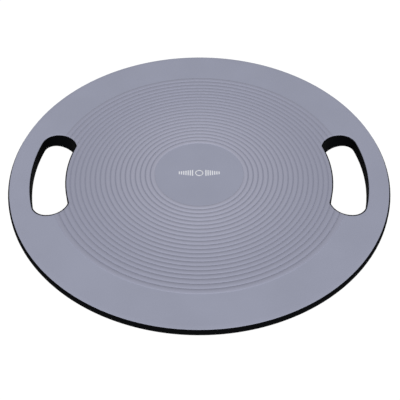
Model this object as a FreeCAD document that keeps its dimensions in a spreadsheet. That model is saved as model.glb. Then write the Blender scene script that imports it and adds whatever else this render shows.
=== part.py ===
import FreeCAD, Part
import math
import os

import Sketcher
from FreeCAD import Placement, Rotation, Vector

# Balance board: a round deck with two hand holes on a shallow bowl that rocks on a round dome.
# Millimetres, +Z up, origin on the floor under the centre of the dome, X through the hand holes.

SIZES = {
    "board_height": 75.0,
    "board_radius": 198.5,
    "edge_height": 7.3,
    "lip_width": 1.55,
    "lip_drop": 2.55,
    "lip_below_pad": 0.35,
    "seam_gap": 0.3,
    "fit_gap": 0.1,
    # grey mat
    "pad_thick": 3.0,
    "pad_edge_round": 0.4,
    "ridge_lift": 0.5,
    "ridge_valley": 0.5,
    "ridge_shoulder": 0.5,
    "ridge_root": 0.3,
    "field_start": 46.0,
    "ridge_pitch": 5.2,
    "outer_ridge_pitch": 5.93,
    # hand holes, at the edge of the mat
    "hole_inner_radius": 138.6,
    "hole_outer_radius": 176.2,
    "hole_end_radius": 22.0,
    "hole_corner_radius": 16.67,
    "hole_apex_x": 153.7,
    "hole_apex_y": 59.4,
    "hole_wall": 1.1,
    # deck and bowl
    "deck_thick": 3.0,
    "skirt_width": 3.2,
    "bowl_slope": 0.29,
    "bowl_wall": 3.2,
    "bowl_edge_round": 0.8,
    "grip_edge_round": 1.0,
    "hub_radius": 80.0,
    "hub_bottom": 34.0,
    "rib_thick": 2.2,
    "rib_start": 16.0,
    "bowl_rib_top": 52.0,
    "deck_rib_end": 133.0,
    "deck_rib_depth": 8.0,
    "ring_rib_inner": 62.0,
    "ring_rib_outer": 124.0,
    "spigot_outer": 63.0,
    "spigot_width": 3.0,
    "spigot_depth": 3.0,
    # dome and sole
    "dome_sphere": 98.0,
    "dome_wall": 5.5,
    "floor_flat": 15.0,
    "sole_radius": 40.0,
    "sole_thick": 2.5,
    "sole_groove_width": 2.4,
    "sole_groove_depth": 0.8,
    "sole_groove_first": 21.0,
    "sole_groove_pitch": 6.5,
    "stud_radius": 4.0,
    # screws and what they go into
    "head_radius": 3.9,
    "head_height": 2.6,
    "shank_radius": 1.9,
    "shank_length": 9.0,
    "tip_chamfer": 1.2,
    "recess_length": 4.6,
    "recess_width": 1.1,
    "recess_depth": 1.5,
    "tower_radius": 7.5,
    "driver_bore": 4.6,
    "seat_level": 64.0,
    "seat_web": 3.0,
    "boss_radius": 5.0,
    "pilot_radius": 1.95,
    "clearance_radius": 2.3,
    "pilot_end": 70.2,
    "rim_screw_circle": 160.0,
    "tower_screw_circle": 100.0,
    "dome_screw_circle": 50.0,
    "dome_boss_radius": 6.0,
    "dome_rib_start": 8.0,
    "dome_hub_radius": 12.0,
    # how far a cutting solid reaches past the face it cuts through
    "cut_past": 1.0,
}

INNER_RIDGES = 18
OUTER_RIDGES = 3
RIB_COUNT = 12
SOLE_GROOVES = 3
RIB_ANGLES = [(number + 0.5) * 360 / RIB_COUNT for number in range(RIB_COUNT)]

# How close two lengths are that count as the same, when an edge is picked out.
SAME_LENGTH = 0.01
NEAR_CONE = 0.05
# The hand holes' lower edges are longer than this; the short edges beside them are left sharp.
GRIP_EDGE_MIN = 10.0

doc = FreeCAD.newDocument("balance_board")
dims = doc.addObject("Spreadsheet::Sheet", "dims")
for row, (alias, number) in enumerate(SIZES.items(), start=1):
    dims.set(f"A{row}", alias)
    dims.set(f"B{row}", str(number))
    dims.setAlias(f"B{row}", alias)
doc.recompute()

# Levels and radii worked out from the sheet, as expressions.
PAD_TOP = "(dims.board_height - dims.ridge_lift)"
DECK_TOP = f"({PAD_TOP} - dims.pad_thick)"
DECK_BOTTOM = f"({DECK_TOP} - dims.deck_thick)"
LIP_TOP = f"({PAD_TOP} - dims.lip_below_pad)"
EDGE_BOTTOM = "(dims.board_height - dims.edge_height)"
SEAM_LEVEL = f"({DECK_BOTTOM} + dims.deck_thick / 2)"
LIP_INSIDE = "(dims.board_radius - dims.lip_width)"
SKIRT_INSIDE = "(dims.board_radius - dims.skirt_width)"
HUB_EDGE = f"({EDGE_BOTTOM} - dims.bowl_slope * (dims.board_radius - dims.hub_radius))"
HUB_TOP = "(dims.hub_bottom + dims.bowl_wall)"
LEDGE_RADIUS = (f"(dims.board_radius - ({EDGE_BOTTOM} + dims.bowl_wall - {DECK_BOTTOM})"
                " / dims.bowl_slope)")
INNER_HUB_RADIUS = f"(dims.hub_radius - ({HUB_EDGE} - dims.hub_bottom) / dims.bowl_slope)"
DOME_CENTRE = "sqrt(dims.dome_sphere ^ 2 - dims.floor_flat ^ 2)"
LIP_GROW = "(0 - dims.hole_wall)"


def value(expression):
    """The number that an expression on the sheet stands for."""
    return float(dims.evalExpression(expression))


def bind(item, prop, expression):
    """Drive one property of an object from the sheet."""
    item.setExpression(prop, expression)


# ---- sketches ---------------------------------------------------------------------------------

def free_sketch(name, upright=False):
    """A sketch for a Part feature: flat on the floor plane, or upright in the XZ plane."""
    sketch = doc.addObject("Sketcher::SketchObject", name)
    if upright:
        sketch.Placement = Placement(Vector(), Rotation(Vector(1, 0, 0), 90))
    return sketch


def body_sketch(body, name, role):
    """A sketch on one of the body's own origin planes."""
    sketch = body.newObject("Sketcher::SketchObject", name)
    plane = next(item for item in body.Origin.OriginFeatures if item.Role == role)
    sketch.AttachmentSupport = [(plane, "")]
    sketch.MapMode = "FlatFace"
    return sketch


def place_point(sketch, edge, end, across, along):
    """Hold one end of an edge at two sheet expressions, measured from the sketch's origin."""
    for kind, expression in (("DistanceX", across), ("DistanceY", along)):
        number = value(expression)
        index = sketch.addConstraint(Sketcher.Constraint(kind, -1, 1, edge, end, number))
        sketch.setExpression(f"Constraints[{index}]", expression)


def draw_polygon(sketch, corners):
    """A closed outline whose corners are pairs of sheet expressions."""
    points = [Vector(value(across), value(along), 0) for across, along in corners]
    first = sketch.GeometryCount
    count = len(points)
    for index in range(count):
        sketch.addGeometry(Part.LineSegment(points[index], points[(index + 1) % count]))
    for index in range(count):
        following = first + (index + 1) % count
        sketch.addConstraint(Sketcher.Constraint("Coincident", first + index, 2, following, 1))
    for index, (across, along) in enumerate(corners):
        place_point(sketch, first + index, 1, across, along)


def draw_circle(sketch, radius, across="0", along="0"):
    """A circle with its radius and centre given as sheet expressions."""
    centre = Vector(value(across), value(along), 0)
    edge = sketch.addGeometry(Part.Circle(centre, Vector(0, 0, 1), value(radius)))
    index = sketch.addConstraint(Sketcher.Constraint("Radius", edge, value(radius)))
    sketch.setExpression(f"Constraints[{index}]", radius)
    if across == "0" and along == "0":
        sketch.addConstraint(Sketcher.Constraint("Coincident", edge, 3, -1, 1))
    else:
        place_point(sketch, edge, 3, across, along)


def arc_between(centre, radius, start, end):
    """An arc drawn anticlockwise between two angles in radians."""
    circle = Part.Circle(centre, Vector(0, 0, 1), radius)
    return Part.ArcOfCircle(circle, start, end)


def draw_hand_hole(sketch, grow="0"):
    """The right hand hole: two arcs round the board's centre, joined by rounded ends.

    Every arc keeps its centre and takes a radius that is larger or smaller by grow, so outlines
    with different values of grow are parallel.
    """
    inner = value(f"dims.hole_inner_radius - ({grow})")
    outer = value(f"dims.hole_outer_radius + ({grow})")
    end = value(f"dims.hole_end_radius + ({grow})")
    corner = value(f"dims.hole_corner_radius + ({grow})")
    apex_x = value("dims.hole_apex_x")
    end_y = value("dims.hole_apex_y - dims.hole_end_radius")
    corner_y = value("dims.hole_apex_y - dims.hole_corner_radius")
    reach = math.hypot(apex_x, end_y)
    spread = math.acos((inner ** 2 + reach ** 2 - end ** 2) / (2 * inner * reach))
    inner_angle = math.atan2(end_y, apex_x) + spread
    inner_corner = Vector(inner * math.cos(inner_angle), inner * math.sin(inner_angle), 0)
    end_angle = math.atan2(inner_corner.y - end_y, inner_corner.x - apex_x)
    outer_angle = math.atan2(corner_y, apex_x)
    quarter = math.pi / 2
    centre = Vector()
    edges = [
        arc_between(centre, outer, -outer_angle, outer_angle),
        arc_between(Vector(apex_x, corner_y, 0), corner, outer_angle, quarter),
        arc_between(Vector(apex_x, end_y, 0), end, quarter, end_angle),
        arc_between(centre, inner, -inner_angle, inner_angle),
        arc_between(Vector(apex_x, -end_y, 0), end, -end_angle, -quarter),
        arc_between(Vector(apex_x, -corner_y, 0), corner, -quarter, -outer_angle),
    ]
    sketch.addGeometry(edges, False)
    joins = [(0, 2, 1, 1), (1, 2, 2, 1), (2, 2, 3, 2), (3, 1, 4, 1), (4, 2, 5, 1), (5, 2, 0, 1)]
    smooth = {0, 1, 4, 5}
    for number, join in enumerate(joins):
        kind = "Tangent" if number in smooth else "Coincident"
        sketch.addConstraint(Sketcher.Constraint(kind, *join))
    for edge in (0, 3):
        sketch.addConstraint(Sketcher.Constraint("Coincident", edge, 3, -1, 1))
    radii = [(0, f"dims.hole_outer_radius + ({grow})"), (3, f"dims.hole_inner_radius - ({grow})"),
             (2, f"dims.hole_end_radius + ({grow})"), (4, f"dims.hole_end_radius + ({grow})")]
    for edge, expression in radii:
        index = sketch.addConstraint(Sketcher.Constraint("Radius", edge, value(expression)))
        sketch.setExpression(f"Constraints[{index}]", expression)
    place_point(sketch, 2, 3, "dims.hole_apex_x", "dims.hole_apex_y - dims.hole_end_radius")
    place_point(sketch, 4, 3, "dims.hole_apex_x", "dims.hole_end_radius - dims.hole_apex_y")
    return sketch


# ---- Part features ----------------------------------------------------------------------------

def revolved(name, corners):
    """A solid of revolution about Z from an outline of (radius, height) expressions."""
    sketch = free_sketch(f"{name}_outline", upright=True)
    draw_polygon(sketch, corners)
    solid = doc.addObject("Part::Revolution", name)
    solid.Source = sketch
    solid.Axis = (0, 0, 1)
    solid.Base = (0, 0, 0)
    solid.Angle = 360
    solid.Solid = True
    return solid


def cylinder(name, radius, bottom, top, circle="0", angle=0.0):
    """An upright cylinder, at an angle in degrees on a circle about the centre."""
    solid = doc.addObject("Part::Cylinder", name)
    bind(solid, "Radius", radius)
    bind(solid, "Height", f"({top}) - ({bottom})")
    bind(solid, "Placement.Base.x", f"({circle}) * cos({angle} deg)")
    bind(solid, "Placement.Base.y", f"({circle}) * sin({angle} deg)")
    bind(solid, "Placement.Base.z", bottom)
    return solid


def sphere(name, radius):
    """A sphere centred where the dome's curve is."""
    solid = doc.addObject("Part::Sphere", name)
    bind(solid, "Radius", radius)
    bind(solid, "Placement.Base.z", DOME_CENTRE)
    return solid


def radial_rib(name, start, end, bottom, top, angle):
    """An upright rib that runs outwards at an angle in degrees."""
    solid = doc.addObject("Part::Box", name)
    turn = Rotation(Vector(0, 0, 1), angle)
    solid.Placement = Placement(Vector(), turn)
    bind(solid, "Length", f"({end}) - ({start})")
    bind(solid, "Width", "dims.rib_thick")
    bind(solid, "Height", f"({top}) - ({bottom})")
    bind(solid, "Placement.Base.x",
         f"({start}) * cos({angle} deg) + dims.rib_thick / 2 * sin({angle} deg)")
    bind(solid, "Placement.Base.y",
         f"({start}) * sin({angle} deg) - dims.rib_thick / 2 * cos({angle} deg)")
    bind(solid, "Placement.Base.z", bottom)
    return solid


def joined(name, shapes):
    """Several solids fused into one."""
    solid = doc.addObject("Part::MultiFuse", name)
    solid.Shapes = shapes
    return solid


def shared(name, base, tool):
    """What two solids have in common."""
    solid = doc.addObject("Part::Common", name)
    solid.Base = base
    solid.Tool = tool
    return solid


def cut(name, base, tool):
    """The first solid with the second taken away."""
    solid = doc.addObject("Part::Cut", name)
    solid.Base = base
    solid.Tool = tool
    return solid


def hole_prisms(name, grow, bottom, top):
    """Both hand holes as upright prisms, their outline moved out by grow."""
    sketch = free_sketch(f"{name}_outline")
    bind(sketch, "Placement.Base.z", bottom)
    draw_hand_hole(sketch, grow)
    right = doc.addObject("Part::Extrusion", f"{name}_right")
    right.Base = sketch
    right.DirMode = "Custom"
    right.Dir = (0, 0, 1)
    right.Solid = True
    bind(right, "LengthFwd", f"({top}) - ({bottom})")
    left = doc.addObject("Part::Mirroring", f"{name}_left")
    left.Source = right
    left.Normal = (1, 0, 0)
    return joined(name, [right, left])


# ---- where the screws and the dome's ribs go --------------------------------------------------

RIM_ANGLES = [angle for angle in range(0, 360, 30) if angle % 180 != 0]
TOWER_ANGLES = list(range(0, 360, 60))
DOME_ANGLES = list(range(30, 390, 60))
DOME_RIB_ANGLES = list(range(0, 360, 60))
STATIONS = (
    [("rim", "dims.rim_screw_circle", angle) for angle in RIM_ANGLES]
    + [("tower", "dims.tower_screw_circle", angle) for angle in TOWER_ANGLES]
)


def finish(item, label):
    """Give a finished sub-part its name."""
    item.Label = label
    return item


# ---- sub-parts --------------------------------------------------------------------------------

def make_anti_slip_pad():
    """The soft mat: a disc with raised rings round a smooth centre, and both hand holes."""
    body = doc.addObject("PartDesign::Body", "mat_body")
    outline = body_sketch(body, "mat_outline", "XY_Plane")
    bind(outline, "AttachmentOffset.Base.z", DECK_TOP)
    draw_circle(outline, f"{LIP_INSIDE} - dims.fit_gap")
    disc = body.newObject("PartDesign::Pad", "mat_disc")
    disc.Profile = outline
    bind(disc, "Length", "dims.pad_thick")
    doc.recompute()
    top = value(PAD_TOP)
    rim_edge = next(f"Edge{number}" for number, edge in enumerate(disc.Shape.Edges, start=1)
                    if edge.BoundBox.ZMin > top - SAME_LENGTH)
    rim = body.newObject("PartDesign::Fillet", "mat_rim")
    rim.Base = (disc, [rim_edge])
    bind(rim, "Radius", "dims.pad_edge_round")
    profile = body_sketch(body, "ridge_profile", "XZ_Plane")
    inner = ["dims.field_start"]
    for _ in range(INNER_RIDGES):
        inner.append(f"{inner[-1]} + dims.ridge_pitch")
    for _ in range(OUTER_RIDGES):
        inner.append(f"{inner[-1]} + dims.outer_ridge_pitch")
    for start, end in zip(inner, inner[1:]):
        foot = f"{PAD_TOP} - dims.ridge_root"
        first = f"{start} + dims.ridge_valley / 2"
        last = f"{end} - dims.ridge_valley / 2"
        draw_polygon(profile, [
            (first, foot),
            (last, foot),
            (last, PAD_TOP),
            (f"{last} - dims.ridge_shoulder", "dims.board_height"),
            (f"{first} + dims.ridge_shoulder", "dims.board_height"),
            (first, PAD_TOP),
        ])
    doc.recompute()
    ridges = body.newObject("PartDesign::Revolution", "mat_ridges")
    ridges.Profile = profile
    ridges.ReferenceAxis = (profile, ["V_Axis"])
    ridges.Angle = 360
    doc.recompute()
    opening = body_sketch(body, "hand_hole", "XY_Plane")
    bind(opening, "AttachmentOffset.Base.z", "dims.board_height")
    draw_hand_hole(opening)
    pocket = body.newObject("PartDesign::Pocket", "hand_hole_right")
    pocket.Profile = opening
    pocket.Type = "ThroughAll"
    doc.recompute()
    mirror = body.newObject("PartDesign::Mirrored", "hand_hole_left")
    mirror.Originals = [pocket]
    side = next(item for item in body.Origin.OriginFeatures if item.Role == "YZ_Plane")
    mirror.MirrorPlane = (side, [""])
    body.Tip = mirror
    return finish(body, "anti_slip_pad")


def make_deck_plate():
    """The hard deck: a disc with a sloping edge lip, ribs and screw bosses underneath."""
    plate = revolved("deck_disc", [
        ("0", DECK_BOTTOM),
        (f"{SKIRT_INSIDE} - dims.fit_gap", DECK_BOTTOM),
        (f"{SKIRT_INSIDE} - dims.fit_gap", f"{SEAM_LEVEL} + dims.seam_gap"),
        ("dims.board_radius", f"{SEAM_LEVEL} + dims.seam_gap"),
        ("dims.board_radius", f"{LIP_TOP} - dims.lip_drop"),
        (LIP_INSIDE, LIP_TOP),
        (LIP_INSIDE, DECK_TOP),
        ("0", DECK_TOP),
    ])
    rib_bottom = f"{DECK_BOTTOM} - dims.deck_rib_depth"
    shapes = [plate]
    for number, angle in enumerate(RIB_ANGLES, start=1):
        shapes.append(radial_rib(f"deck_rib_{number}", "dims.rib_start", "dims.deck_rib_end",
                                 rib_bottom, DECK_TOP, angle))
    for ring in ("inner", "outer"):
        radius = f"dims.ring_rib_{ring}"
        shapes.append(revolved(f"deck_ring_{ring}", [
            (radius, rib_bottom),
            (f"{radius} + dims.rib_thick", rib_bottom),
            (f"{radius} + dims.rib_thick", DECK_TOP),
            (radius, DECK_TOP),
        ]))
    pilots = []
    for kind, circle, angle in STATIONS:
        shapes.append(cylinder(f"{kind}_boss_{angle}", "dims.boss_radius", "dims.seat_level",
                               DECK_TOP, circle, angle))
        pilots.append(cylinder(f"{kind}_pilot_{angle}", "dims.pilot_radius",
                               "dims.seat_level - dims.cut_past", "dims.pilot_end", circle,
                               angle))
    solid = joined("deck_solid", shapes)
    openings = hole_prisms("deck_holes", "dims.fit_gap", f"{rib_bottom} - dims.cut_past",
                           "dims.board_height")
    pilots.append(openings)
    return finish(cut("deck_cut", solid, joined("deck_voids", pilots)), "deck_plate")


def round_bowl_edges(moulding):
    """Round the outer edge of the bowl and the lower edges of the hand holes."""
    edge_bottom = value(EDGE_BOTTOM)
    rounded = []
    for number, edge in enumerate(moulding.Shape.Edges, start=1):
        middle = edge.valueAt((edge.FirstParameter + edge.LastParameter) / 2)
        radius = math.hypot(middle.x, middle.y)
        inset = value("dims.board_radius") - radius
        at_rim = inset < SAME_LENGTH
        at_bottom = abs(edge.BoundBox.ZMax - edge_bottom) < SAME_LENGTH
        on_cone = abs(edge_bottom - middle.z - value("dims.bowl_slope") * inset) < NEAR_CONE
        at_hole = (abs(middle.y) < value("dims.hole_apex_y")
                   and radius > value("dims.hole_inner_radius"))
        if at_rim and at_bottom:
            rounded.append((number,) + 2 * (value("dims.bowl_edge_round"),))
        elif on_cone and at_hole and edge.Length > GRIP_EDGE_MIN:
            rounded.append((number,) + 2 * (value("dims.grip_edge_round"),))
    fillet = doc.addObject("Part::Fillet", "bowl_rounded")
    fillet.Base = moulding
    fillet.Edges = rounded
    return fillet


def make_base_shell():
    """The bowl: sloping wall, flat hub, hand-hole walls, screw towers and ribs."""
    bowl = revolved("bowl_wall_solid", [
        ("0", "dims.hub_bottom"),
        (INNER_HUB_RADIUS, "dims.hub_bottom"),
        ("dims.board_radius", EDGE_BOTTOM),
        ("dims.board_radius", SEAM_LEVEL),
        (SKIRT_INSIDE, SEAM_LEVEL),
        (SKIRT_INSIDE, DECK_BOTTOM),
        (LEDGE_RADIUS, DECK_BOTTOM),
        (INNER_HUB_RADIUS, HUB_TOP),
        ("0", HUB_TOP),
    ])
    envelope = revolved("bowl_envelope", [
        ("0", "dims.hub_bottom"),
        (INNER_HUB_RADIUS, "dims.hub_bottom"),
        ("dims.board_radius", EDGE_BOTTOM),
        ("dims.board_radius", LIP_TOP),
        ("0", LIP_TOP),
    ])
    inside = [hole_prisms("hand_hole_walls", "0", "dims.hub_bottom", LIP_TOP)]
    below_hub = "dims.hub_bottom - dims.cut_past"
    bores = [hole_prisms("hand_hole_voids", LIP_GROW, below_hub, "dims.board_height")]
    for kind, circle, angle in STATIONS:
        inside.append(cylinder(f"{kind}_tower_{angle}", "dims.tower_radius", "dims.hub_bottom",
                               "dims.seat_level", circle, angle))
        bores.append(cylinder(f"{kind}_bore_{angle}", "dims.driver_bore", below_hub,
                              "dims.seat_level - dims.seat_web", circle, angle))
        bores.append(cylinder(f"{kind}_clear_{angle}", "dims.clearance_radius",
                              "dims.hub_bottom", "dims.seat_level + dims.cut_past", circle,
                              angle))
    for number, angle in enumerate(RIB_ANGLES, start=1):
        inside.append(radial_rib(f"bowl_rib_{number}", "dims.rib_start", "dims.board_radius",
                                 "dims.hub_bottom", "dims.bowl_rib_top", angle))
    for angle in DOME_ANGLES:
        bores.append(cylinder(f"dome_clear_{angle}", "dims.clearance_radius", below_hub,
                              f"{HUB_TOP} + dims.cut_past", "dims.dome_screw_circle", angle))
        bores.append(cylinder(f"dome_head_room_{angle}", "dims.driver_bore", HUB_TOP,
                              "dims.bowl_rib_top + dims.cut_past", "dims.dome_screw_circle",
                              angle))
    spigot = revolved("hub_spigot", [
        ("dims.spigot_outer - dims.spigot_width", "dims.hub_bottom - dims.spigot_depth"),
        ("dims.spigot_outer", "dims.hub_bottom - dims.spigot_depth"),
        ("dims.spigot_outer", HUB_TOP),
        ("dims.spigot_outer - dims.spigot_width", HUB_TOP),
    ])
    fittings = shared("bowl_fittings", joined("bowl_inside", inside), envelope)
    solid = joined("bowl_solid", [bowl, fittings, spigot])
    moulding = cut("bowl_cut", solid, joined("bowl_voids", bores))
    doc.recompute()
    return finish(round_bowl_edges(moulding), "base_shell")


def make_rocker_dome():
    """The dome: a thick round cap with crossed ribs and screw bosses inside."""
    above_hub = "dims.hub_bottom + dims.cut_past"
    slab = cylinder("dome_slab", "dims.dome_sphere", "0", "dims.hub_bottom")
    cap = shared("dome_cap", sphere("dome_ball", "dims.dome_sphere"), slab)
    room = sphere("dome_room", "dims.dome_sphere - dims.dome_wall")
    wall = cut("dome_shell", cap, room)
    inner_slab = cylinder("dome_inner_slab", "dims.dome_sphere", "0",
                          "dims.hub_bottom - dims.spigot_depth - dims.seam_gap")
    fittings = []
    for angle in DOME_RIB_ANGLES:
        fittings.append(radial_rib(f"dome_rib_{angle}", "dims.dome_rib_start",
                                   "dims.dome_sphere", "0", "dims.hub_bottom", angle))
    fittings.append(cylinder("dome_hub", "dims.dome_hub_radius", "0", "dims.hub_bottom"))
    ribs = shared("dome_ribs", joined("dome_rib_set", fittings), inner_slab)
    bosses = [cylinder(f"dome_boss_{angle}", "dims.dome_boss_radius", "0", "dims.hub_bottom",
                       "dims.dome_screw_circle", angle) for angle in DOME_ANGLES]
    inside = shared("dome_fittings", joined("dome_inside", [ribs] + bosses), cap)
    sole_depth = "dims.sole_thick + dims.fit_gap"
    below_floor = "0 - dims.cut_past"
    recess_ring = cut("sole_skin", sphere("sole_skin_ball", "dims.dome_sphere + dims.cut_past"),
                      sphere("sole_seat_ball", f"dims.dome_sphere - ({sole_depth})"))
    plug = cylinder("sole_plug", "dims.sole_radius + dims.fit_gap", below_floor,
                    "dims.hub_bottom")
    voids = [shared("sole_recess", recess_ring, plug)]
    voids.append(cylinder("stud_hole", "dims.stud_radius + dims.fit_gap", below_floor,
                          above_hub))
    for angle in DOME_ANGLES:
        voids.append(cylinder(f"dome_pilot_{angle}", "dims.pilot_radius",
                              f"{HUB_TOP} - dims.shank_length - dims.cut_past", above_hub,
                              "dims.dome_screw_circle", angle))
    solid = joined("dome_solid", [wall, inside])
    return finish(cut("dome_cut", solid, joined("dome_voids", voids)), "rocker_dome")


def make_dome_sole():
    """The soft sole: a skin of the dome with a flat middle, ring grooves and a stud."""
    slab = cylinder("sole_slab", "dims.sole_radius", "0", "dims.hub_bottom")
    cap = shared("sole_cap", sphere("sole_ball", "dims.dome_sphere"), slab)
    seat = sphere("sole_seat", "dims.dome_sphere - dims.sole_thick")
    skin = cut("sole_shell", cap, seat)
    stud = cylinder("sole_stud", "dims.stud_radius", "dims.sole_thick / 2",
                    "dims.hub_bottom / 2")
    solid = joined("sole_solid", [skin, stud])
    grooves = []
    for number in range(SOLE_GROOVES):
        radius = f"(dims.sole_groove_first + {number} * dims.sole_groove_pitch)"
        level = f"({DOME_CENTRE} - sqrt(dims.dome_sphere ^ 2 - {radius} ^ 2))"
        grooves.append(revolved(f"sole_groove_{number + 1}", [
            (f"{radius} - dims.sole_groove_width / 2", f"{level} - dims.cut_past"),
            (f"{radius} + dims.sole_groove_width / 2", f"{level} - dims.cut_past"),
            (f"{radius} + dims.sole_groove_width / 2", f"{level} + dims.sole_groove_depth"),
            (f"{radius} - dims.sole_groove_width / 2", f"{level} + dims.sole_groove_depth"),
        ]))
    return finish(cut("sole_cut", solid, joined("sole_voids", grooves)), "dome_sole")


def make_screw(label, placement):
    """A pan-head self-tapping screw: seat at its own zero level, shank pointing up."""
    body = doc.addObject("PartDesign::Body", f"{label}_body")
    shank_circle = body_sketch(body, f"{label}_shank_circle", "XY_Plane")
    draw_circle(shank_circle, "dims.shank_radius")
    shank = body.newObject("PartDesign::Pad", f"{label}_shank")
    shank.Profile = shank_circle
    bind(shank, "Length", "dims.shank_length")
    head_circle = body_sketch(body, f"{label}_head_circle", "XY_Plane")
    draw_circle(head_circle, "dims.head_radius")
    head = body.newObject("PartDesign::Pad", f"{label}_head")
    head.Profile = head_circle
    head.Reversed = True
    bind(head, "Length", "dims.head_height")
    doc.recompute()
    tip_edge = next(f"Edge{number}" for number, edge in enumerate(head.Shape.Edges, start=1)
                    if edge.BoundBox.ZMin > value("dims.shank_length") - SAME_LENGTH)
    tip = body.newObject("PartDesign::Chamfer", f"{label}_tip")
    tip.Base = (head, [tip_edge])
    bind(tip, "Size", "dims.tip_chamfer")
    doc.recompute()
    head_bottom = value("0 - dims.head_height")
    crown_edge = next(f"Edge{number}" for number, edge in enumerate(tip.Shape.Edges, start=1)
                      if abs(edge.BoundBox.ZMax - head_bottom) < SAME_LENGTH)
    crown = body.newObject("PartDesign::Fillet", f"{label}_crown")
    crown.Base = (tip, [crown_edge])
    bind(crown, "Radius", "dims.head_height / 2")
    slot_sketch = body_sketch(body, f"{label}_slot_outline", "XY_Plane")
    bind(slot_sketch, "AttachmentOffset.Base.z", "0 - dims.head_height")
    half_length = "dims.recess_length / 2"
    half_width = "dims.recess_width / 2"
    draw_polygon(slot_sketch, [
        (f"0 - {half_length}", f"0 - {half_width}"),
        (half_length, f"0 - {half_width}"),
        (half_length, half_width),
        (f"0 - {half_length}", half_width),
    ])
    slot = body.newObject("PartDesign::Pocket", f"{label}_slot")
    slot.Profile = slot_sketch
    slot.Reversed = True
    bind(slot, "Length", "dims.recess_depth")
    doc.recompute()
    cross = body.newObject("PartDesign::PolarPattern", f"{label}_cross")
    cross.Originals = [slot]
    cross.Axis = (slot_sketch, ["N_Axis"])
    cross.Angle = 180
    cross.Occurrences = 2
    body.Tip = cross
    body.Placement = placement
    return finish(body, label)


def on_circle(circle, angle, height, upside_down=False):
    """A placement at an angle in degrees on a circle, turned over for screws driven down."""
    turn = Rotation(Vector(1, 0, 0), 180 if upside_down else 0)
    radius = value(circle)
    place = Vector(radius * math.cos(math.radians(angle)),
                   radius * math.sin(math.radians(angle)), value(height))
    return Placement(place, turn)


def make_screws():
    """All screws: rim and tower screws driven up into the deck, dome screws driven down."""
    screws = []
    counts = {}
    for kind, circle, angle in STATIONS:
        counts[kind] = counts.get(kind, 0) + 1
        place = on_circle(circle, angle, "dims.seat_level - dims.seat_web")
        screws.append(make_screw(f"{kind}_screw_{counts[kind]}", place))
    for number, angle in enumerate(DOME_ANGLES, start=1):
        place = on_circle("dims.dome_screw_circle", angle, HUB_TOP, upside_down=True)
        screws.append(make_screw(f"dome_screw_{number}", place))
    return screws


def check_and_write(parts):
    """Stop if anything failed, then write each sub-part to its own file."""
    doc.recompute()
    for item in doc.Objects:
        if "Invalid" in item.State or "Error" in item.State:
            raise RuntimeError(f"{item.Label} failed: {item.State}")
    for item in parts:
        if item.Shape.isNull() or not item.Shape.isValid():
            raise RuntimeError(f"{item.Label} has no valid shape")
    os.makedirs("parts", exist_ok=True)
    for item in parts:
        item.Shape.exportStep(f"parts/{item.Label}.step")
        print(item.Label, len(item.Shape.Solids), "solid", round(item.Shape.Volume), "mm3")


check_and_write([
    make_anti_slip_pad(),
    make_deck_plate(),
    make_base_shell(),
    make_rocker_dome(),
    make_dome_sole(),
    *make_screws(),
])
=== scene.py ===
import logging
import math
from dataclasses import dataclass, field
from enum import Enum
from typing import Any, Sequence

import bmesh
import bpy
import numpy as np
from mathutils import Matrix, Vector
from mathutils.geometry import delaunay_2d_cdt


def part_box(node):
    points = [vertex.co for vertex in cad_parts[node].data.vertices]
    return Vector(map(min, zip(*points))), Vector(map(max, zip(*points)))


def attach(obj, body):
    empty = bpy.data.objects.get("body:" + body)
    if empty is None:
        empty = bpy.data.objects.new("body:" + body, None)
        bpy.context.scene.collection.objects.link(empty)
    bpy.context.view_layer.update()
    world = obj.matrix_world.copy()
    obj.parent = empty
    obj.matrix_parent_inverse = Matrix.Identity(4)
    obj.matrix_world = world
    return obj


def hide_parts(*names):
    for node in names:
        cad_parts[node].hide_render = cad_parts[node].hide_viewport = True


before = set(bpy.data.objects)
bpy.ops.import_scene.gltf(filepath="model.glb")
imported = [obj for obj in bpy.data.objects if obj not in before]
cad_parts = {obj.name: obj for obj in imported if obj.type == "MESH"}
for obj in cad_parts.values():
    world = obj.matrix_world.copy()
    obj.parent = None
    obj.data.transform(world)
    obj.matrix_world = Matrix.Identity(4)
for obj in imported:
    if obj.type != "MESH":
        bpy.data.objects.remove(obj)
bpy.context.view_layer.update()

log = logging.getLogger("balance_board")

MM = 0.001
TURN = 2.0 * math.pi
BODY = "root"

# Attributes on the mat's points: how far each is up a ring, below 0 in the valleys where the
# mat's material paints shade, and which belong to the flat top.
RISE = "rise"
UPPER = "upper"

# Where rings of points divide a smooth band, as shares of its width.
BAND_SHARES = (0.12, 0.3, 0.5, 0.7, 0.88)

Colour = tuple[float, float, float]
Place = tuple[float, float, float]


# ---- node trees as expressions ----------------------------------------------------------------

class Value:
    """One output socket of a node tree, with arithmetic that adds Math nodes."""

    def __init__(self, graph: "Graph", socket: bpy.types.NodeSocket) -> None:
        """Wrap a socket of a graph."""
        self.graph = graph
        self.socket = socket

    def __add__(self, other: "Value | float") -> "Value":
        """self + other."""
        return self.graph.maths("ADD", self, other)

    def __radd__(self, other: float) -> "Value":
        """other + self."""
        return self.graph.maths("ADD", other, self)

    def __sub__(self, other: "Value | float") -> "Value":
        """self - other."""
        return self.graph.maths("SUBTRACT", self, other)

    def __rsub__(self, other: float) -> "Value":
        """other - self."""
        return self.graph.maths("SUBTRACT", other, self)

    def __mul__(self, other: "Value | float") -> "Value":
        """self * other."""
        return self.graph.maths("MULTIPLY", self, other)

    def __rmul__(self, other: float) -> "Value":
        """other * self."""
        return self.graph.maths("MULTIPLY", other, self)

    def __truediv__(self, other: "Value | float") -> "Value":
        """self / other."""
        return self.graph.maths("DIVIDE", self, other)

    def __gt__(self, other: "Value | float") -> "Value":
        """1 where self is above other, else 0."""
        return self.graph.maths("GREATER_THAN", self, other)

    def __lt__(self, other: "Value | float") -> "Value":
        """1 where self is below other, else 0."""
        return self.graph.maths("LESS_THAN", self, other)


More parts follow.
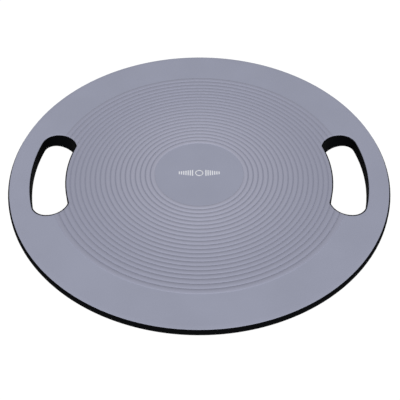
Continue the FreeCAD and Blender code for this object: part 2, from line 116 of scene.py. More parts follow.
class Graph:
    """A node tree that is filled by calls and expressions."""

    def __init__(self, tree: bpy.types.NodeTree) -> None:
        """Start from an existing tree."""
        self.tree = tree

    def node(self, kind: str, settings: dict[str, Any] | None = None,
             sockets: dict[str | int, Any] | None = None, output: str | int = 0) -> Value:
        """Add a node of any type.

        Args:
            kind: the node's type name.
            settings: properties of the node, set before its sockets.
            sockets: values or links of its inputs, by name or number.
            output: the output to hand back, by name or number.

        Returns:
            The chosen output.
        """
        item = self.tree.nodes.new(kind)
        for name, setting in (settings or {}).items():
            setattr(item, name, setting)
        for key, content in (sockets or {}).items():
            self.feed(item.inputs[key], content)
        return Value(self, item.outputs[output])

    def feed(self, socket: bpy.types.NodeSocket, content: Any) -> None:
        """Link a Value into a socket, or set the socket's own value."""
        if isinstance(content, Value):
            self.tree.links.new(content.socket, socket)
        else:
            socket.default_value = content

    def maths(self, operation: str, *terms: "Value | float") -> Value:
        """A Math node of one operation on up to three terms."""
        return self.node("ShaderNodeMath", {"operation": operation}, dict(enumerate(terms)))

    def smooth_range(self, term: Value, low: float, high: float, start: float = 0.0,
                     end: float = 1.0) -> Value:
        """Map a range smoothly.

        Args:
            term: the value that is mapped.
            low: where the result is start.
            high: where the result is end.
            start: the result at and below low.
            end: the result at and above high.

        Returns:
            The mapped value.
        """
        return self.node(
            "ShaderNodeMapRange",
            {"interpolation_type": "SMOOTHSTEP"},
            {"Value": term, "From Min": low, "From Max": high, "To Min": start, "To Max": end},
        )

    def radius(self, place: Value) -> Value:
        """The distance of a place from the Z axis."""
        flat = self.node("ShaderNodeVectorMath", {"operation": "MULTIPLY"},
                         {0: place, 1: (1.0, 1.0, 0.0)})
        return self.node("ShaderNodeVectorMath", {"operation": "LENGTH"}, {0: flat},
                         output="Value")


class Paint(Graph):
    """A material built on one Principled shader."""

    def __init__(self, name: str, **shader: Any) -> None:
        """Make the material; the keywords are Principled inputs with _ for spaces."""
        self.material = bpy.data.materials.new(name)
        self.material.use_nodes = True
        super().__init__(self.material.node_tree)
        self.shader = self.tree.nodes["Principled BSDF"]
        for key, content in shader.items():
            self.feed(self.shader.inputs[key.replace("_", " ")], content)

    def place(self) -> Value:
        """Object coordinates, in metres."""
        return self.node("ShaderNodeTexCoord", output="Object")

    def parts(self, vector: Value) -> tuple[Value, Value, Value]:
        """The X, Y and Z of a vector."""
        first = self.node("ShaderNodeSeparateXYZ", sockets={0: vector})
        outputs = first.socket.node.outputs
        return first, Value(self, outputs[1]), Value(self, outputs[2])

    def noise(self, vector: Value, per_metre: float, detail: float = 2.0,
              roughness: float = 0.5) -> Value:
        """Noise from 0 to 1 with a number of features to the metre."""
        return self.node(
            "ShaderNodeTexNoise",
            sockets={"Vector": vector, "Scale": per_metre, "Detail": detail,
                     "Roughness": roughness},
        )

    def blend(self, share: "Value | float", first: Any, second: Any) -> Value:
        """A colour between two colours."""
        return self.node(
            "ShaderNodeMix",
            {"data_type": "RGBA"},
            {0: share, 6: first, 7: second},
            output=2,
        )

    def bump(self, height: Value, depth: float, strength: float = 1.0) -> None:
        """Raise the surface by height times depth, in metres."""
        normal = self.node(
            "ShaderNodeBump",
            sockets={"Height": height, "Distance": depth, "Strength": strength},
        )
        self.feed(self.shader.inputs["Normal"], normal)

    def set(self, name: str, content: Any) -> None:
        """Feed one input of the Principled shader."""
        self.feed(self.shader.inputs[name], content)


class Shaper(Graph):
    """A Geometry Nodes tree with named inputs, applied to a mesh and taken off again."""

    def __init__(self, name: str) -> None:
        """Start a tree with a geometry input and output."""
        super().__init__(bpy.data.node_groups.new(name, "GeometryNodeTree"))
        self.sizes: dict[str, Any] = {}
        face = self.tree.interface
        face.new_socket(name="Geometry", in_out="INPUT", socket_type="NodeSocketGeometry")
        face.new_socket(name="Geometry", in_out="OUTPUT", socket_type="NodeSocketGeometry")
        self.start = self.tree.nodes.new("NodeGroupInput")
        self.end = self.tree.nodes.new("NodeGroupOutput")

    def geometry(self) -> Value:
        """The geometry that comes in."""
        return Value(self, self.start.outputs["Geometry"])

    def size(self, name: str, number: float, kind: str = "NodeSocketFloat") -> Value:
        """Add a named input.

        Args:
            name: the input's name.
            number: the value that the modifier gives it.
            kind: the type of the socket.

        Returns:
            The input as a value of the tree.
        """
        item = self.tree.interface.new_socket(name=name, in_out="INPUT", socket_type=kind)
        self.sizes[item.identifier] = number
        return Value(self, self.start.outputs[name])

    def apply(self, item: bpy.types.Object, result: Value, material: bpy.types.Material) -> None:
        """End the tree, run it on an object and keep the result as a plain mesh.

        Args:
            item: the object whose mesh goes in and is replaced.
            result: the geometry that comes out.
            material: the finish of the result.
        """
        real = self.node("GeometryNodeRealizeInstances", sockets={"Geometry": result})
        dressed = self.node("GeometryNodeSetMaterial",
                            sockets={"Geometry": real, "Material": material})
        self.feed(self.end.inputs["Geometry"], dressed)
        modifier = item.modifiers.new(self.tree.name, "NODES")
        modifier.node_group = self.tree
        for identifier, number in self.sizes.items():
            modifier[identifier] = number
        bpy.context.view_layer.update()
        evaluated = item.evaluated_get(bpy.context.evaluated_depsgraph_get())
        mesh = bpy.data.meshes.new_from_object(evaluated)
        item.modifiers.clear()
        item.data = mesh


# ---- finishes ---------------------------------------------------------------------------------

@dataclass(frozen=True)
class RingShading:
    """Painted light on a mat's colour: factors on top of its rings, painted light and shade
    there, and in the valleys between them, painted shade.
    """

    crest_shading: Colour = (1.0, 1.0, 1.0)
    valley: Colour = (1.0, 1.0, 1.0)


@dataclass(frozen=True)
class SoftElastomer:
    """Matte moulded elastomer: fine spark grain, a soft sheen and slight cloudiness.

    Rings are tinted by the attribute "rise", which is 1 on top of a ring, -1 in the valley
    between two rings and 0 on the smooth parts: the tint is painted light and shade on the ring
    tops and painted shade in the valleys. The painted light changes from the middle outwards.
    Scales are in features to the metre, and each spread is how far the noise moves a value.
    """

    name: str
    colour: Colour
    shade: float = 0.93
    roughness: float = 0.62
    specular: float = 0.32
    sheen: float = 0.08
    sheen_roughness: float = 0.5
    # Painted light and shade on the rings, near the middle and outside.
    middle: RingShading = RingShading()
    outside: RingShading = RingShading()
    middle_radius: float = 0.045
    outside_radius: float = 0.14
    cloud_per_metre: float = 14.0
    speck_per_metre: float = 900.0
    cloud_share: float = 0.6
    speck_share: float = 0.4
    shade_range: tuple[float, float] = (0.35, 0.65)
    cloud_spread: float = 0.16
    grain_spread: float = 0.1
    grain_per_metre: float = 2600.0
    grain_depth: float = 0.06 * MM
    grain_strength: float = 0.6

    def material(self) -> bpy.types.Material:
        """Build the material.

        Returns:
            The finished material.
        """
        paint = Paint(self.name, Specular_IOR_Level=self.specular, Sheen_Weight=self.sheen,
                      Sheen_Roughness=self.sheen_roughness)
        place = paint.place()
        cloud = paint.noise(place, self.cloud_per_metre, detail=3.0)
        speck = paint.noise(place, self.speck_per_metre)
        grain = paint.noise(place, self.grain_per_metre, roughness=0.6)
        mottle = cloud * self.cloud_share + speck * self.speck_share
        share = paint.smooth_range(mottle, *self.shade_range)
        colour = paint.blend(share, self.tinted((self.shade,) * 3), self.tinted((1.0,) * 3))
        outwards = paint.smooth_range(paint.radius(place), self.middle_radius,
                                      self.outside_radius)
        crest_shading = paint.blend(outwards, self.tinted(self.middle.crest_shading),
                            self.tinted(self.outside.crest_shading))
        valley = paint.blend(outwards, self.tinted(self.middle.valley),
                             self.tinted(self.outside.valley))
        rise = paint.node("ShaderNodeAttribute", {"attribute_name": RISE}, output="Fac")
        # Painted light on the rings: the crest factors on ring tops, and the valley factors as
        # painted shade between rings.
        colour = paint.blend(paint.smooth_range(rise, 0.0, 1.0), colour, crest_shading)
        colour = paint.blend(paint.smooth_range(0.0 - rise, 0.0, 1.0), colour, valley)
        paint.set("Base Color", colour)
        paint.set("Roughness", self.roughness + self.cloud_spread * (cloud - 0.5)
                  + self.grain_spread * (grain - 0.5))
        paint.bump(grain, self.grain_depth, self.grain_strength)
        return paint.material

    def tinted(self, factors: Sequence[float]) -> tuple[float, ...]:
        """The finish's colour times three factors, with an alpha of 1."""
        return (*(part * factor for part, factor in zip(self.colour, factors)), 1.0)


@dataclass(frozen=True)
class BlackMoulding:
    """Black polypropylene with a spark-eroded grain.

    Faces that look down are paler, partly dust and partly painted light that lifts the shaded
    underside, and are scuffed, with a gloss coat where one is asked for.
    """

    name: str
    colour: Colour = (0.0026, 0.0028, 0.0034)
    # The paler colour of faces that look down: dust, and painted light on the shaded underside.
    under_dust_and_painted_light: Colour = (0.026, 0.027, 0.030)
    scuff: Colour = (0.05, 0.05, 0.053)
    roughness: float = 0.5
    specular: float = 0.01
    gloss_below: float = 0.35
    gloss_roughness: float = 0.34
    down_range: tuple[float, float] = (0.3, 0.8)
    flow_per_metre: float = 22.0
    rub_per_metre: float = 75.0
    rub_share: float = 0.7
    flow_share: float = 0.3
    scuff_range: tuple[float, float] = (0.52, 0.75)
    flow_spread: float = 0.18
    scuff_rougher: float = 0.1
    grain_per_metre: float = 1500.0
    grain_depth: float = 0.07 * MM
    grain_strength: float = 0.55

    def material(self) -> bpy.types.Material:
        """Build the material.

        Returns:
            The finished material.
        """
        paint = Paint(self.name, Specular_IOR_Level=self.specular,
                      Coat_Roughness=self.gloss_roughness)
        place = paint.place()
        grain = paint.noise(place, self.grain_per_metre, detail=3.0, roughness=0.55)
        flow = paint.noise(place, self.flow_per_metre, detail=3.0)
        rub = paint.noise(place, self.rub_per_metre, detail=6.0, roughness=0.7)
        normal = paint.node("ShaderNodeNewGeometry", output="Normal")
        down = paint.smooth_range(0.0 - paint.parts(normal)[2], *self.down_range)
        worn = rub * self.rub_share + flow * self.flow_share
        share = paint.smooth_range(worn, *self.scuff_range) * down
        # Dust and painted light: faces that look down take the paler colour, which lifts the
        # shaded underside.
        plain = paint.blend(down, (*self.colour, 1.0), (*self.under_dust_and_painted_light, 1.0))
        paint.set("Base Color", paint.blend(share, plain, (*self.scuff, 1.0)))
        paint.set("Roughness", self.roughness + self.flow_spread * (flow - 0.5)
                  + self.scuff_rougher * share)
        paint.set("Coat Weight", down * self.gloss_below)
        paint.bump(grain, self.grain_depth, self.grain_strength)
        return paint.material


@dataclass(frozen=True)
class BlackedSteel:
    """Black zinc-plated screw steel, rubbed bare in places."""

    name: str
    colour: Colour = (0.03, 0.03, 0.033)
    bare: Colour = (0.32, 0.31, 0.3)
    specular: float = 0.5
    wear_per_metre: float = 900.0
    wear_range: tuple[float, float] = (0.58, 0.72)
    metallic: float = 0.55
    bare_metallic: float = 0.4
    roughness: float = 0.42
    bare_smoother: float = 0.12
    wear_depth: float = 0.03 * MM
    wear_strength: float = 0.4

    def material(self) -> bpy.types.Material:
        """Build the material.

        Returns:
            The finished material.
        """
        paint = Paint(self.name, Specular_IOR_Level=self.specular)
        wear = paint.noise(paint.place(), self.wear_per_metre, detail=5.0, roughness=0.7)
        share = paint.smooth_range(wear, *self.wear_range)
        paint.set("Base Color", paint.blend(share, (*self.colour, 1.0), (*self.bare, 1.0)))
        paint.set("Metallic", self.metallic + self.bare_metallic * share)
        paint.set("Roughness", self.roughness - self.bare_smoother * share)
        paint.bump(wear, self.wear_depth, self.wear_strength)
        return paint.material


@dataclass(frozen=True)
class PrintedInk:
    """Pale pad-printed ink, thin enough for the grain below to show."""

    name: str
    colour: Colour = (0.68, 0.69, 0.73)
    worn: Colour = (0.55, 0.56, 0.61)
    specular: float = 0.4
    roughness: float = 0.5
    grain_per_metre: float = 1900.0
    worn_range: tuple[float, float] = (0.52, 0.7)
    grain_spread: float = 0.2
    grain_depth: float = 0.03 * MM
    grain_strength: float = 0.5

    def material(self) -> bpy.types.Material:
        """Build the material.

        Returns:
            The finished material.
        """
        paint = Paint(self.name, Specular_IOR_Level=self.specular)
        grain = paint.noise(paint.place(), self.grain_per_metre, detail=3.0, roughness=0.6)
        share = paint.smooth_range(grain, *self.worn_range)
        paint.set("Base Color", paint.blend(share, (*self.colour, 1.0), (*self.worn, 1.0)))
        paint.set("Roughness", self.roughness + self.grain_spread * (grain - 0.5))
        paint.bump(grain, self.grain_depth, self.grain_strength)
        return paint.material


class Tone(Enum):
    """The two elastomers, by their linear colour."""

    MAT = (0.288, 0.301, 0.386)
    SOLE = (0.12, 0.126, 0.15)


# ---- shapes -----------------------------------------------------------------------------------

@dataclass(frozen=True)
class HandHole:
    """The outline of one hand hole: arcs round the board's centre with rounded ends."""

    inner_radius: float = 138.6 * MM
    outer_radius: float = 176.2 * MM
    end_radius: float = 22.0 * MM
    corner_radius: float = 16.67 * MM
    apex: tuple[float, float] = (153.7 * MM, 59.4 * MM)

    def outline(self, grow: float, step: float) -> list[Vector]:
        """Points round the right hand hole, anticlockwise.

        Args:
            grow: how far the outline is moved outwards.
            step: the distance between points.

        Returns:
            The points, in the plane of the deck.
        """
        inner = self.inner_radius - grow
        outer = self.outer_radius + grow
        end = self.end_radius + grow
        corner = self.corner_radius + grow
        apex_x, apex_y = self.apex
        end_y = apex_y - self.end_radius
        corner_y = apex_y - self.corner_radius
        reach = math.hypot(apex_x, end_y)
        spread = math.acos((inner ** 2 + reach ** 2 - end ** 2) / (2 * inner * reach))
        inner_angle = math.atan2(end_y, apex_x) + spread
        end_angle = math.atan2(inner * math.sin(inner_angle) - end_y,
                               inner * math.cos(inner_angle) - apex_x)
        outer_angle = math.atan2(corner_y, apex_x)
        quarter = math.pi / 2
        upper = [
            self.arc((0.0, 0.0), outer, 0.0, outer_angle, step),
            self.arc((apex_x, corner_y), corner, outer_angle, quarter, step),
            self.arc((apex_x, end_y), end, quarter, end_angle, step),
            self.arc((0.0, 0.0), inner, inner_angle, 0.0, step),
        ]
        half = [point for part in upper for point in part]
        mirrored = [Vector((point.x, -point.y)) for point in reversed(half[1:])]
        return half + [Vector((inner, 0.0))] + mirrored

    @staticmethod
    def arc(centre: tuple[float, float], radius: float, start: float, end: float,
            step: float) -> list[Vector]:
        """Points along an arc, its last point left out.

        Args:
            centre: the arc's centre.
            radius: its radius.
            start: the angle it starts at, in radians.
            end: the angle it ends at.
            step: the distance between points.

        Returns:
            The points from start up to, but without, end.
        """
        count = max(2, math.ceil(abs(end - start) * radius / step))
        angles = [start + (end - start) * index / count for index in range(count)]
        return [Vector((centre[0] + radius * math.cos(angle),
                        centre[1] + radius * math.sin(angle))) for angle in angles]


def new_piece(name: str, mesh: bpy.types.Mesh) -> bpy.types.Object:
    """Put a mesh in the scene as an object of that name."""
    item = bpy.data.objects.new(name, mesh)
    bpy.context.scene.collection.objects.link(item)
    return item


def inside(points: np.ndarray, outline: np.ndarray) -> np.ndarray:
    """Which points lie inside a closed outline.

    Args:
        points: an array of points in a plane.
        outline: the outline's corners, in order.

    Returns:
        One truth value for each point.
    """
    result = np.zeros(len(points), bool)
    following = np.roll(outline, -1, axis=0)
    for (x_a, y_a), (x_b, y_b) in zip(outline, following):
        crosses = (y_a > points[:, 1]) != (y_b > points[:, 1])
        if not crosses.any():
            continue
        slope = (x_b - x_a) / (y_b - y_a)
        at = x_a + (points[crosses, 1] - y_a) * slope
        result[crosses] ^= points[crosses, 0] < at
    return result


def distance(points: np.ndarray, outline: np.ndarray) -> np.ndarray:
    """The distance from each point to the nearest side of a closed outline.

    Args:
        points: an array of points in a plane.
        outline: the outline's corners, in order.

    Returns:
        One distance for each point.
    """
    nearest = np.full(len(points), np.inf)
    following = np.roll(outline, -1, axis=0)
    for start, end in zip(outline, following):
        side = end - start
        share = np.clip((points - start) @ side / (side @ side), 0.0, 1.0)
        gap = points - (start + share[:, None] * side)
        nearest = np.minimum(nearest, np.hypot(gap[:, 0], gap[:, 1]))
    return nearest


def rounded_drop(gaps: np.ndarray, radius: float) -> np.ndarray:
    """How far points lie below a flat top whose edge is rounded over.

    Args:
        gaps: the distance of each point from the edge.
        radius: the radius of the rounding.

    Returns:
        One depth for each point, from 0 to the radius.
    """
    fall = np.clip(radius - np.maximum(gaps, 0.0), 0.0, radius)
    return radius - np.sqrt(radius ** 2 - fall ** 2)


# ---- sub-assemblies ---------------------------------------------------------------------------

@dataclass
class GripMat:
    """The soft mat: a flat blank with two hand holes, raised into rings."""

    hole: HandHole = field(default_factory=HandHole)
    lift: float = 0.5 * MM
    field_start: float = 46.0 * MM
    inner_pitch: float = 5.2 * MM
    inner_rings: int = 18
    outer_pitch: float = 5.93 * MM
    outer_rings: int = 3
    valley: float = 0.5 * MM
    shoulder: float = 0.5 * MM
    shoulder_shares: tuple[float, ...] = (0.0, 0.3, 0.65, 1.0)
    hole_round: float = 0.8 * MM
    hole_round_shares: tuple[float, ...] = (0.0, 0.1, 0.3, 0.6, 1.0)
    hole_step: float = 1.6 * MM
    rim_round: float = 0.4 * MM
    rim_round_shares: tuple[float, ...] = (1.0, 0.6, 0.3, 0.1, 0.0)
    spokes: int = 240
    merge_within: float = 1e-7
    crease: float = math.radians(60)
    # Painted light on the rings: ring tops painted lighter in the middle and darker outside, and
    # valleys painted with shade.
    middle: RingShading = RingShading((1.11, 1.08, 1.055), (0.79, 0.775, 0.785))
    outside: RingShading = RingShading((0.93, 0.915, 0.915), (0.815, 0.80, 0.815))

    @property
    def change(self) -> float:
        """The radius where the wider outer rings start."""
        return self.field_start + self.inner_rings * self.inner_pitch

    @property
    def field_end(self) -> float:
        """The radius of the outermost ring's outer side."""
        return self.change + self.outer_rings * self.outer_pitch

    def ring_radii(self, rim: float) -> list[float]:
        """The radii at which the blank needs a ring of points.

        Args:
            rim: the mat's outer radius.

        Returns:
            The radii, from the centre out.
        """
        foot = self.valley / 2
        steps = [foot + self.shoulder * share for share in self.shoulder_shares]
        radii = [self.field_start * share for share in BAND_SHARES]
        for index in range(self.inner_rings + self.outer_rings):
            wide = index >= self.inner_rings
            pitch = self.outer_pitch if wide else self.inner_pitch
            offset = (index - self.inner_rings) * pitch if wide else index * pitch
            start = (self.change if wide else self.field_start) + offset
            radii.append(start)
            radii += [start + step for step in steps]
            radii += [start + pitch - step for step in reversed(steps)]
        radii.append(self.field_end)
        band = rim - self.rim_round - self.field_end
        radii += [self.field_end + band * share for share in BAND_SHARES]
        radii += [rim - self.rim_round * share for share in self.rim_round_shares]
        return radii

    def blank(self, top: float, bottom: float, rim: float) -> bpy.types.Mesh:
        """The flat mat, closed, with its edges rounded over.

        Args:
            top: the level of the smooth surface.
            bottom: the level that the mat lies on.
            rim: its outer radius.

        Returns:
            A mesh whose upper points carry the attribute "upper".
        """
        points = [Vector((0.0, 0.0))]
        edges: list[tuple[int, int]] = []

        def add_loop(loop: Sequence[Vector]) -> None:
            """Add a closed line of points that the mesh has to follow."""
            first = len(points)
            points.extend(loop)
            count = len(loop)
            edges.extend((first + at, first + (at + 1) % count) for at in range(count))

        angles = [TURN * spoke / self.spokes for spoke in range(self.spokes)]
        for radius in self.ring_radii(rim):
            add_loop([Vector((radius * math.cos(angle), radius * math.sin(angle)))
                      for angle in angles])
        holes = []
        for side in (1, -1):
            for share in self.hole_round_shares:
                loop = self.hole.outline(self.hole_round * share, self.hole_step)
                loop = [Vector((side * point.x, point.y)) for point in loop]
                add_loop(loop)
                if share == 0.0:
                    holes.append(np.array([tuple(point) for point in loop]))
        flat, _, faces, *_ = delaunay_2d_cdt(points, edges, [], 0, self.merge_within, False)
        spots = np.array([tuple(point) for point in flat])
        corners = np.array([list(face) for face in faces])
        middles = spots[corners].mean(axis=1)
        keep = ~(inside(middles, holes[0]) | inside(middles, holes[1]))
        drop = rounded_drop(rim - np.hypot(spots[:, 0], spots[:, 1]), self.rim_round)
        for outline in holes:
            drop = np.maximum(drop, rounded_drop(distance(spots, outline), self.hole_round))
        shell = bmesh.new()
        upper = shell.verts.layers.float.new(UPPER)
        verts = []
        for (x, y), down in zip(spots, drop):
            vert = shell.verts.new((x, y, top - down))
            vert[upper] = 1.0 - min(down / self.hole_round, 1.0)
            verts.append(vert)
        for face in corners[keep]:
            shell.faces.new([verts[at] for at in face])
        loose = [vert for vert in shell.verts if not vert.link_faces]
        bmesh.ops.delete(shell, geom=loose, context="VERTS")
        border = [edge for edge in shell.edges if len(edge.link_faces) == 1]
        walls = bmesh.ops.extrude_edge_only(shell, edges=border)["geom"]
        low = [item for item in walls if isinstance(item, bmesh.types.BMVert)]
        for vert in low:
            vert.co.z = bottom
            vert[upper] = 0.0
        rims = [edge for edge in shell.edges if len(edge.link_faces) == 1]
        bmesh.ops.triangle_fill(shell, edges=rims, use_beauty=True, normal=(0, 0, -1))
        bmesh.ops.recalc_face_normals(shell, faces=shell.faces)
        for face in shell.faces:
            face.smooth = True
        mesh = bpy.data.meshes.new("grip_mat")
        shell.to_mesh(mesh)
        shell.free()
        return mesh

    def raise_rings(self, item: bpy.types.Object, material: bpy.types.Material) -> None:
        """Lift the rings out of the blank with a node tree.

        Args:
            item: the blank.
            material: the mat's finish.
        """
        tree = Shaper("mat_rings")
        start = tree.size("Field start", self.field_start)
        change = tree.size("Wider rings start", self.change)
        end = tree.size("Field end", self.field_end)
        pitch = tree.size("Inner pitch", self.inner_pitch)
        wide = tree.size("Outer pitch", self.outer_pitch)
        foot = tree.size("Valley half width", self.valley / 2)
        shoulder = tree.size("Shoulder width", self.shoulder)
        lift = tree.size("Lift", self.lift)
        place = tree.node("GeometryNodeInputPosition")
        radius = tree.radius(place)
        outer = radius > change
        ring = outer * wide + (1.0 - outer) * pitch
        origin = outer * change + (1.0 - outer) * start
        along = tree.maths("FLOORED_MODULO", radius - origin, ring)
        side = tree.maths("MINIMUM", along, ring - along)
        rise = tree.smooth_range(side, foot, foot + shoulder)
        in_field = (radius > start) * (radius < end)
        between = (radius > start + pitch / 2.0) * (radius < end - wide / 2.0)
        upper = tree.node("GeometryNodeInputNamedAttribute", {"data_type": "FLOAT"},
                          {"Name": UPPER})
        share = rise * in_field * upper
        shift = tree.node("ShaderNodeCombineXYZ", sockets={2: share * lift})
        # The stored rise goes below 0 in the valleys between rings, away from the field's first
        # and last half ring: the mask for the painted shade there.
        marked = tree.node("GeometryNodeStoreNamedAttribute", {"data_type": "FLOAT"},
                           {"Geometry": tree.geometry(), "Name": RISE,
                            "Value": share - between * (1.0 - rise) * upper})
        raised = tree.node("GeometryNodeSetPosition",
                           sockets={"Geometry": marked, "Offset": shift})
        clean = tree.node("GeometryNodeRemoveAttribute",
                          sockets={"Geometry": raised, "Name": UPPER})
        tree.apply(item, clean, material)

    def build(self) -> bpy.types.Object:
        """Make the mat and put it in place of its plain node.

        Returns:
            The finished mat.
        """
        low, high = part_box("anti_slip_pad")
        mesh = self.blank(high.z - self.lift, low.z, high.x)
        item = new_piece("grip_mat", mesh)
        finish = SoftElastomer("mat_elastomer", Tone.MAT.value, middle=self.middle,
                               outside=self.outside)
        self.raise_rings(item, finish.material())
        item.data.set_sharp_from_angle(angle=self.crease)
        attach(item, BODY)
        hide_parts("anti_slip_pad")
        return item


@dataclass
class LevelMark:
    """A small pale mark in the middle: a ring between two fans of short level ticks."""

    ring_radius: float = 3.8 * MM
    line: float = 1.25 * MM
    thick: float = 0.06 * MM
    first_tick: float = 7.0 * MM
    tick_pitch: float = 2.3 * MM
    ticks: int = 7
    tall: float = 8.6 * MM
    short: float = 4.0 * MM
    shift: float = 1.0 * MM
    ring_sides: int = 64

    def build(self) -> bpy.types.Object:
        """Make the mark on the mat's smooth middle.

        Returns:
            The finished mark.
        """
        mesh = bpy.data.meshes.new("level_mark")
        item = new_piece("level_mark", mesh)
        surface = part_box("anti_slip_pad")[1].z - GripMat.lift
        tree = Shaper("level_ticks")
        first = tree.size("First tick", self.first_tick)
        pitch = tree.size("Tick pitch", self.tick_pitch)
        count = tree.size("Ticks a side", self.ticks, "NodeSocketInt")
        width = tree.size("Line width", self.line)
        thick = tree.size("Ink thickness", self.thick)
        tall = tree.size("First tick height", self.tall)
        short = tree.size("Last tick height", self.short)
        level = tree.size("Surface level", surface)
        across = tree.size("Shift", self.shift)
        ring_radius = tree.size("Ring radius", self.ring_radius)
        index = tree.node("GeometryNodeInputIndex")
        step = tree.maths("FLOORED_MODULO", index, count)
        side = (index < count) * 2.0 - 1.0
        place = tree.node("ShaderNodeCombineXYZ",
                          sockets={0: side * (first + step * pitch), 1: across, 2: level})
        both = tree.node("GeometryNodePoints", sockets={"Count": count * 2.0,
                                                        "Position": place})
        size = tree.node("ShaderNodeCombineXYZ", sockets={0: width, 1: 1.0, 2: thick * 2.0})
        share = step / tree.maths("MAXIMUM", count - 1.0, 1.0)
        long = tall + (short - tall) * share
        scale = tree.node("ShaderNodeCombineXYZ", sockets={0: 1.0, 1: long, 2: 1.0})
        bar = tree.node("GeometryNodeMeshCube", sockets={"Size": size})
        bars = tree.node("GeometryNodeInstanceOnPoints",
                         sockets={"Points": both, "Instance": bar, "Scale": scale})
        path = tree.node("GeometryNodeCurvePrimitiveCircle",
                         sockets={"Resolution": self.ring_sides, "Radius": ring_radius})
        section = tree.node("GeometryNodeCurvePrimitiveQuadrilateral",
                            sockets={"Width": width, "Height": thick * 2.0})
        ring = tree.node("GeometryNodeCurveToMesh",
                         sockets={"Curve": path, "Profile Curve": section})
        spot = tree.node("ShaderNodeCombineXYZ", sockets={1: across, 2: level})
        placed = tree.node("GeometryNodeTransform",
                           sockets={"Geometry": ring, "Translation": spot})
        joined = tree.tree.nodes.new("GeometryNodeJoinGeometry")
        tree.feed(joined.inputs[0], bars)
        tree.feed(joined.inputs[0], placed)
        tree.apply(item, Value(tree, joined.outputs[0]), PrintedInk("printed_ink").material())
        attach(item, BODY)
        return item


@dataclass
class Mouldings:
    """The black mouldings and the sole, which keep their modelled shapes."""

    shells: tuple[str, ...] = ("deck_plate", "base_shell")
    dome: str = "rocker_dome"
    sole: str = "dome_sole"

    def build(self) -> list[bpy.types.Object]:
        """Give each moulding its finish.

        Returns:
            The dressed nodes.
        """
        black = BlackMoulding("black_moulding").material()
        satin = BlackMoulding("satin_moulding", colour=(0.032, 0.033, 0.037),
                              under_dust_and_painted_light=(0.032, 0.033, 0.037), scuff=(0.065, 0.065, 0.068),
                              roughness=0.36, specular=0.4, gloss_below=0.0,
                              grain_per_metre=900.0).material()
        sole = SoftElastomer("sole_elastomer", Tone.SOLE.value).material()
        finishes = {name: black for name in self.shells} | {self.dome: satin, self.sole: sole}
        return [dress(name, finish) for name, finish in finishes.items()]


@dataclass
class Fasteners:
    """All the screws, which keep their modelled shapes."""

    ending: str = "_screw_"

    def build(self) -> list[bpy.types.Object]:
        """Give each screw its plating.

        Returns:
            The dressed screws.
        """
        steel = BlackedSteel("blacked_steel").material()
        return [dress(name, steel) for name in sorted(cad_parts) if self.ending in name]


def dress(name: str, material: bpy.types.Material) -> bpy.types.Object:
    """Give a node of the frame a material."""
    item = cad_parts[name]
    item.data.materials.clear()
    item.data.materials.append(material)
    return item


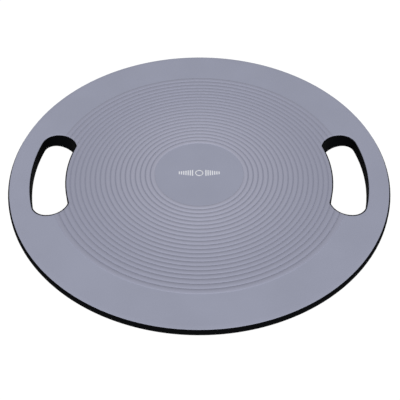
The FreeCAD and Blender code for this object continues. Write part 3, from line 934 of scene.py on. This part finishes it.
@dataclass
class Studio:
    """A white sweep, soft lights and the camera."""

    camera_place: Place = (0.0008, -0.649, 0.7256)
    camera_drop: float = 46.82
    lens: float = 79.0
    view_end: float = 50.0
    floor_half: float = 6.0
    floor_matte: tuple[float, float, float, float] = (0.6, 0.6, 0.6, 1.0)
    floor_glow: float = 1.09
    # Where the painted shadow under the board fades out, and how much of the floor glows inside
    # and outside it.
    painted_shadow_radii: tuple[float, float] = (0.04, 0.12)
    glow_shares: tuple[float, float] = (0.45, 0.9)
    world_light: float = 0.33
    key_place: Place = (0.5, -6.6, 6.3)
    key_size: float = 3.6
    key_power: float = 715.0
    fill_place: Place = (-0.4, 0.9, 2.2)
    fill_size: float = 1.6
    fill_power: float = 9.5

    def floor(self) -> None:
        """A pale floor that reads white, takes only a faint shadow, and has a painted shadow
        under the middle.
        """
        shell = bmesh.new()
        half = self.floor_half
        corners = [(-half, -half), (half, -half), (half, half), (-half, half)]
        shell.faces.new([shell.verts.new((x, y, 0.0)) for x, y in corners])
        mesh = bpy.data.meshes.new("floor")
        shell.to_mesh(mesh)
        shell.free()
        item = new_piece("floor", mesh)
        material = bpy.data.materials.new("pale_floor")
        material.use_nodes = True
        graph = Graph(material.node_tree)
        output = graph.tree.nodes["Material Output"]
        seen = graph.node("ShaderNodeLightPath", output="Is Camera Ray")
        place = graph.node("ShaderNodeTexCoord", output="Object")
        # Less of the floor glows towards the middle: a painted shadow under the board, over the
        # real shadow that the matte part takes.
        share = graph.smooth_range(graph.radius(place), *self.painted_shadow_radii, *self.glow_shares)
        matte = graph.node("ShaderNodeBsdfDiffuse", sockets={"Color": self.floor_matte})
        glow = graph.node("ShaderNodeEmission", sockets={"Strength": self.floor_glow})
        mixed = graph.node("ShaderNodeMixShader", sockets={0: seen * share, 1: matte, 2: glow})
        graph.feed(output.inputs["Surface"], mixed)
        mesh.materials.append(material)

    def light(self, name: str, place: Place, size: float, power: float) -> None:
        """A square soft light that faces the board.

        Args:
            name: the light's name.
            place: where it hangs.
            size: its side.
            power: its power in watts.
        """
        lamp = bpy.data.lights.new(name, "AREA")
        lamp.shape = "SQUARE"
        lamp.size = size
        lamp.energy = power
        item = bpy.data.objects.new(name, lamp)
        item.location = place
        item.rotation_euler = (-Vector(place)).to_track_quat("-Z", "Y").to_euler()
        bpy.context.scene.collection.objects.link(item)

    def camera(self) -> None:
        """The camera, looking down along +Y at the deck."""
        lens = bpy.data.cameras.new("camera")
        lens.lens = self.lens
        lens.clip_end = self.view_end
        item = bpy.data.objects.new("camera", lens)
        item.location = self.camera_place
        item.rotation_euler = (math.radians(90.0 - self.camera_drop), 0.0, 0.0)
        bpy.context.scene.collection.objects.link(item)
        bpy.context.scene.camera = item

    def build(self) -> None:
        """Make the floor, the lights, the world and the camera."""
        scene = bpy.context.scene
        scene.view_settings.view_transform = "Standard"
        world = bpy.data.worlds.new("studio")
        world.use_nodes = True
        graph = Graph(world.node_tree)
        background = graph.tree.nodes["Background"]
        seen = graph.node("ShaderNodeLightPath", output="Is Camera Ray")
        graph.feed(background.inputs["Color"], (1.0, 1.0, 1.0, 1.0))
        graph.feed(background.inputs["Strength"],
                   self.world_light + seen * (1.0 - self.world_light))
        scene.world = world
        self.floor()
        self.light("key_light", self.key_place, self.key_size, self.key_power)
        self.light("fill_light", self.fill_place, self.fill_size, self.fill_power)
        self.camera()


def main() -> None:
    """Build the studio and every piece."""
    logging.basicConfig(level=logging.INFO, format="%(name)s: %(message)s")
    Studio().build()
    for builder in (GripMat(), LevelMark(), Mouldings(), Fasteners()):
        made = builder.build()
        for item in made if isinstance(made, list) else [made]:
            log.info("%s: %d faces", item.name, len(item.data.polygons))


if __name__ == "__main__":
    main()
